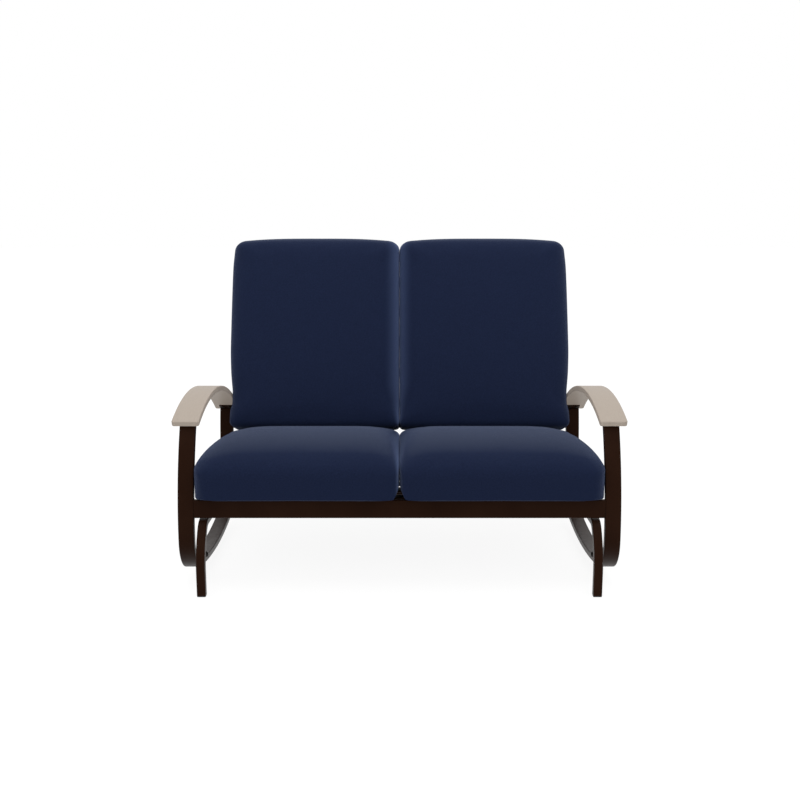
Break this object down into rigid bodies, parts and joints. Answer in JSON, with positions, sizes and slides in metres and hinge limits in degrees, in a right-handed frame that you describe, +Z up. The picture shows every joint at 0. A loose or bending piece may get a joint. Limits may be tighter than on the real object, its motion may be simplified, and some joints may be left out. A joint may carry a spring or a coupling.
{
  "type": "glider bench",
  "caption": "Cushioned metal glider bench with bent side loops and arched armrests, hung from a low base on swinging links.",
  "frame": {"origin": "middle of the footprint of the whole bench, on the floor", "axes": "+Z up, +X along the bench to the left of a person sitting on it, +Y to the back"},
  "size_m": [1.285, 0.9214, 0.9767],
  "materials": {
    "frame_coat": "dark bronze powder coat, satin",
    "arm_polymer": "taupe moulded board, matt with a faint grain",
    "cushion_cloth": "navy outdoor cloth, plain weave",
    "hardware_steel": "blackened steel fasteners",
    "bush_polymer": "black bearing plastic",
    "foot_polymer": "black glide plastic"
  },
  "bodies": {
    "base": {"base_front_stretcher": "frame_coat", "base_rear_stretcher": "frame_coat", "base_side_left": "frame_coat", "base_side_right": "frame_coat", "foot_glides": "foot_polymer", "upper_pivot_bolts": "hardware_steel", "upper_pivot_nuts": "hardware_steel", "upper_pivot_washers": "hardware_steel"},
    "link_front_left": {"link_bushes_front_left": "bush_polymer", "link_plate_front_left": "frame_coat"},
    "link_front_right": {"link_bushes_front_right": "bush_polymer", "link_plate_front_right": "frame_coat"},
    "link_rear_left": {"link_bushes_rear_left": "bush_polymer", "link_plate_rear_left": "frame_coat"},
    "link_rear_right": {"link_bushes_rear_right": "bush_polymer", "link_plate_rear_right": "frame_coat"},
    "seat": {"arm_bracket_front_left": "frame_coat", "arm_bracket_front_right": "frame_coat", "arm_bracket_rear_left": "frame_coat", "arm_bracket_rear_right": "frame_coat", "arm_screws": "hardware_steel", "armrest_left": "arm_polymer", "armrest_right": "arm_polymer", "back_cushion_left": "cushion_cloth", "back_cushion_right": "cushion_cloth", "back_lower_rail": "frame_coat", "back_slat_1": "frame_coat", "back_slat_2": "frame_coat", "back_slat_3": "frame_coat", "back_slat_4": "frame_coat", "back_slat_5": "frame_coat", "back_stile_left": "frame_coat", "back_stile_right": "frame_coat", "back_top_rail": "frame_coat", "back_upright_left": "frame_coat", "back_upright_right": "frame_coat", "hanger_lugs_left": "frame_coat", "hanger_lugs_right": "frame_coat", "lower_pivot_bolts": "hardware_steel", "lower_pivot_nuts": "hardware_steel", "lower_pivot_washers": "hardware_steel", "seat_bearer_inner_left": "frame_coat", "seat_bearer_inner_right": "frame_coat", "seat_bearer_outer_left": "frame_coat", "seat_bearer_outer_right": "frame_coat", "seat_cushion_left": "cushion_cloth", "seat_cushion_right": "cushion_cloth", "seat_front_rail": "frame_coat", "seat_rear_rail": "frame_coat", "seat_slat_1": "frame_coat", "seat_slat_2": "frame_coat", "seat_slat_3": "frame_coat", "seat_slat_4": "frame_coat", "seat_slat_5": "frame_coat", "seat_slat_6": "frame_coat", "seat_slat_7": "frame_coat", "seat_slat_8": "frame_coat", "side_loop_left": "frame_coat", "side_loop_right": "frame_coat"}
  },
  "joints": [
    {"name": "link_front_left_swing", "type": "hinge", "parent": "base", "child": "link_front_left", "pos_m": [0.5725, -0.30514, 0.198], "axis": [1, 0, 0], "range_deg": [-22, 22]},
    {"name": "link_front_right_swing", "type": "hinge", "parent": "base", "child": "link_front_right", "pos_m": [-0.5725, -0.30514, 0.198], "axis": [1, 0, 0], "range_deg": [-22, 22]},
    {"name": "link_rear_left_swing", "type": "hinge", "parent": "base", "child": "link_rear_left", "pos_m": [0.5725, 0.15686, 0.198], "axis": [1, 0, 0], "range_deg": [-22, 22]},
    {"name": "link_rear_right_swing", "type": "hinge", "parent": "base", "child": "link_rear_right", "pos_m": [-0.5725, 0.15686, 0.198], "axis": [1, 0, 0], "range_deg": [-22, 22]},
    {"name": "seat_glide", "type": "hinge", "parent": "link_front_left", "child": "seat", "pos_m": [0.5725, -0.30514, 0.07044], "axis": [1, 0, 0], "range_deg": [-22, 22]}
  ],
  "couplings": [
    {"joint": "link_front_left_swing", "follows": "seat_glide", "ratio": -1},
    {"joint": "link_front_right_swing", "follows": "seat_glide", "ratio": -1},
    {"joint": "link_rear_left_swing", "follows": "seat_glide", "ratio": -1},
    {"joint": "link_rear_right_swing", "follows": "seat_glide", "ratio": -1}
  ]
}
